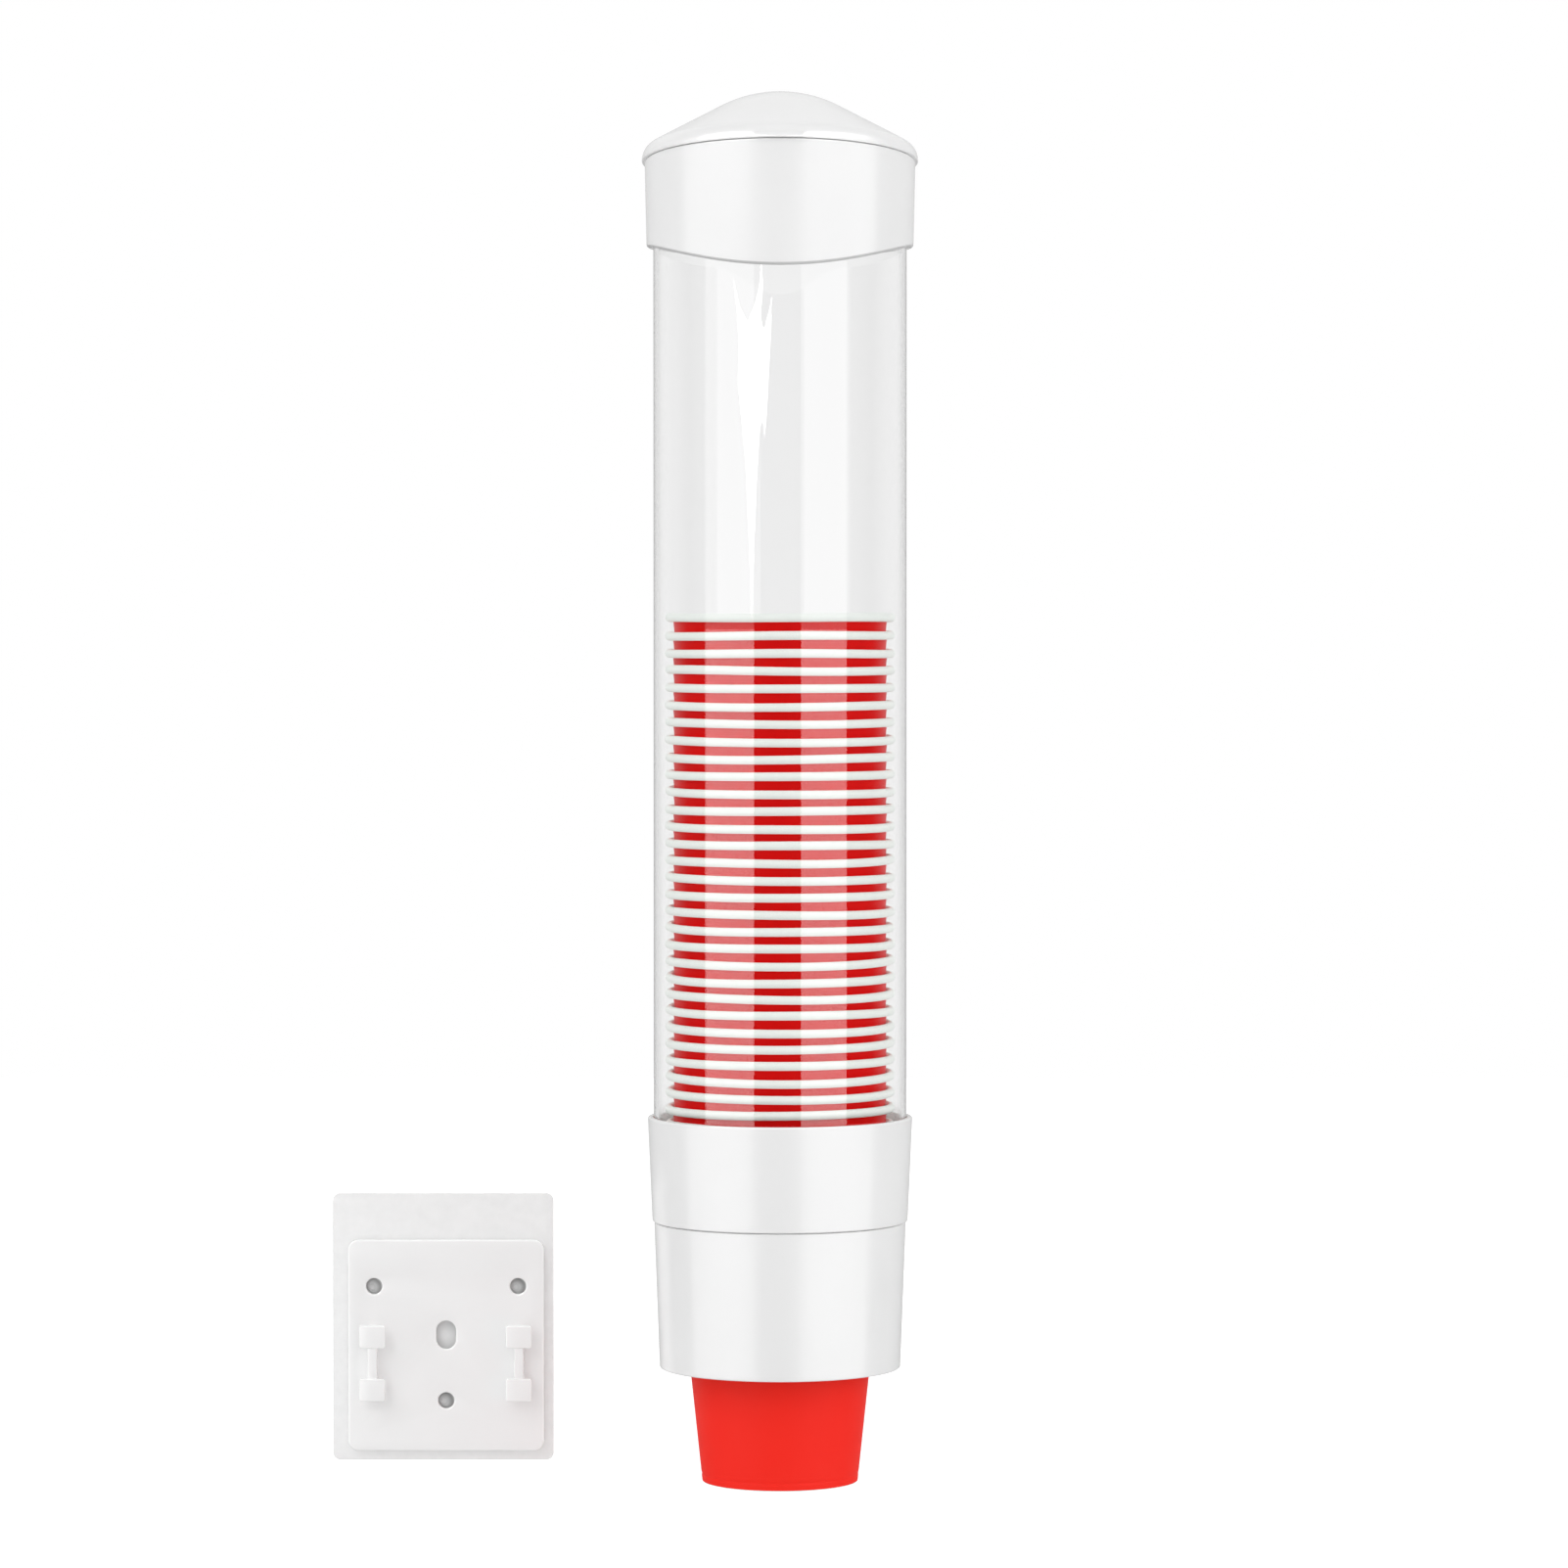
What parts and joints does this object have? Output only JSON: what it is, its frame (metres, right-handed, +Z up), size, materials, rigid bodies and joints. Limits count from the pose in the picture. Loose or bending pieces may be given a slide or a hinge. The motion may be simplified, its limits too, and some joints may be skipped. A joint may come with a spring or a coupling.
{
  "type": "cup dispenser",
  "caption": "Wall-mounted pull-down paper cup dispenser: clear tube, hinged domed lid, claw base, nested paper cups, and a separate hook-on wall plate.",
  "frame": {"origin": "middle of the hanger's rear face, which lies against the wall plate when the dispenser hangs", "axes": "+X to the right of someone facing the dispenser's front, +Y into the wall, +Z up along the tube; the front faces -Y"},
  "size_m": [0.1961, 0.1092, 0.4554],
  "materials": {
    "white_plastic": "gloss moulded",
    "inner_plastic": "satin moulded",
    "plate_plastic": "satin moulded",
    "clear_tube": "clear, polished",
    "adhesive_film": "clear film on white glue",
    "cup_paper": "red printed paper, white inside and on the rolled rim",
    "steel": "drawn wire"
  },
  "bodies": {
    "dispenser": {"top_collar": "white_plastic", "lid_hinge_pin": "steel", "tube": "clear_tube", "base_ring": "white_plastic", "base_shell": "white_plastic", "retainer_ring": "inner_plastic", "hanger_bracket": "white_plastic", "hanger_screw_1": "steel", "hanger_screw_2": "steel", "wall_plate": "plate_plastic", "adhesive_sheet": "adhesive_film", "claw_pin_1": "steel", "claw_pin_2": "steel", "claw_pin_3": "steel", "claw_pin_4": "steel", "claw_spring_1": "steel", "claw_spring_2": "steel", "claw_spring_3": "steel", "claw_spring_4": "steel"},
    "lid": {"lid": "white_plastic"},
    "claw_1": {"claw_1": "inner_plastic"},
    "claw_2": {"claw_2": "inner_plastic"},
    "claw_3": {"claw_3": "inner_plastic"},
    "claw_4": {"claw_4": "inner_plastic"},
    "hanging_cup": {"cup_01": "cup_paper"},
    "cup_stack": {"cup_02": "cup_paper", "cup_03": "cup_paper", "cup_04": "cup_paper", "cup_05": "cup_paper", "cup_06": "cup_paper", "cup_07": "cup_paper", "cup_08": "cup_paper", "cup_09": "cup_paper", "cup_10": "cup_paper", "cup_11": "cup_paper", "cup_12": "cup_paper", "cup_13": "cup_paper", "cup_14": "cup_paper", "cup_15": "cup_paper", "cup_16": "cup_paper", "cup_17": "cup_paper", "cup_18": "cup_paper", "cup_19": "cup_paper", "cup_20": "cup_paper", "cup_21": "cup_paper", "cup_22": "cup_paper", "cup_23": "cup_paper", "cup_24": "cup_paper", "cup_25": "cup_paper", "cup_26": "cup_paper", "cup_27": "cup_paper", "cup_28": "cup_paper", "cup_29": "cup_paper", "cup_30": "cup_paper", "cup_31": "cup_paper", "cup_32": "cup_paper", "cup_33": "cup_paper", "cup_34": "cup_paper", "cup_35": "cup_paper", "cup_36": "cup_paper"}
  },
  "joints": [
    {"name": "lid_hinge", "type": "hinge", "parent": "dispenser", "child": "lid", "pos_m": [0, -0.01265, 0.36371], "axis": [-1, 0, 0], "range_deg": [0, 75]},
    {"name": "claw_1_swing", "type": "hinge", "parent": "dispenser", "child": "claw_1", "pos_m": [0.02754, -0.03246, 0.039], "axis": [0.7071, -0.7071, 0], "range_deg": [0, 6], "stiffness_Nm_per_rad": 0.02, "springref_deg": -5.73},
    {"name": "claw_2_swing", "type": "hinge", "parent": "dispenser", "child": "claw_2", "pos_m": [-0.02754, -0.03246, 0.039], "axis": [0.7071, 0.7071, 0], "range_deg": [0, 6], "stiffness_Nm_per_rad": 0.02, "springref_deg": -5.73},
    {"name": "claw_3_swing", "type": "hinge", "parent": "dispenser", "child": "claw_3", "pos_m": [-0.02754, -0.08754, 0.039], "axis": [-0.7071, 0.7071, 0], "range_deg": [0, 6], "stiffness_Nm_per_rad": 0.02, "springref_deg": -5.73},
    {"name": "claw_4_swing", "type": "hinge", "parent": "dispenser", "child": "claw_4", "pos_m": [0.02754, -0.08754, 0.039], "axis": [-0.7071, -0.7071, 0], "range_deg": [0, 6], "stiffness_Nm_per_rad": 0.02, "springref_deg": -5.73},
    {"name": "cup_pull", "type": "slide", "parent": "dispenser", "child": "hanging_cup", "axis": [0, 0, -1], "range_m": [0, 0.1]},
    {"name": "stack_feed", "type": "slide", "parent": "dispenser", "child": "cup_stack", "axis": [0, 0, -1], "range_m": [0, 0.0055]}
  ],
  "couplings": [
    {"joint": "claw_2_swing", "follows": "claw_1_swing", "ratio": 1},
    {"joint": "claw_3_swing", "follows": "claw_1_swing", "ratio": 1},
    {"joint": "claw_4_swing", "follows": "claw_1_swing", "ratio": 1},
    {"joint": "stack_feed", "follows": "cup_pull", "ratio": 0.0549}
  ]
}
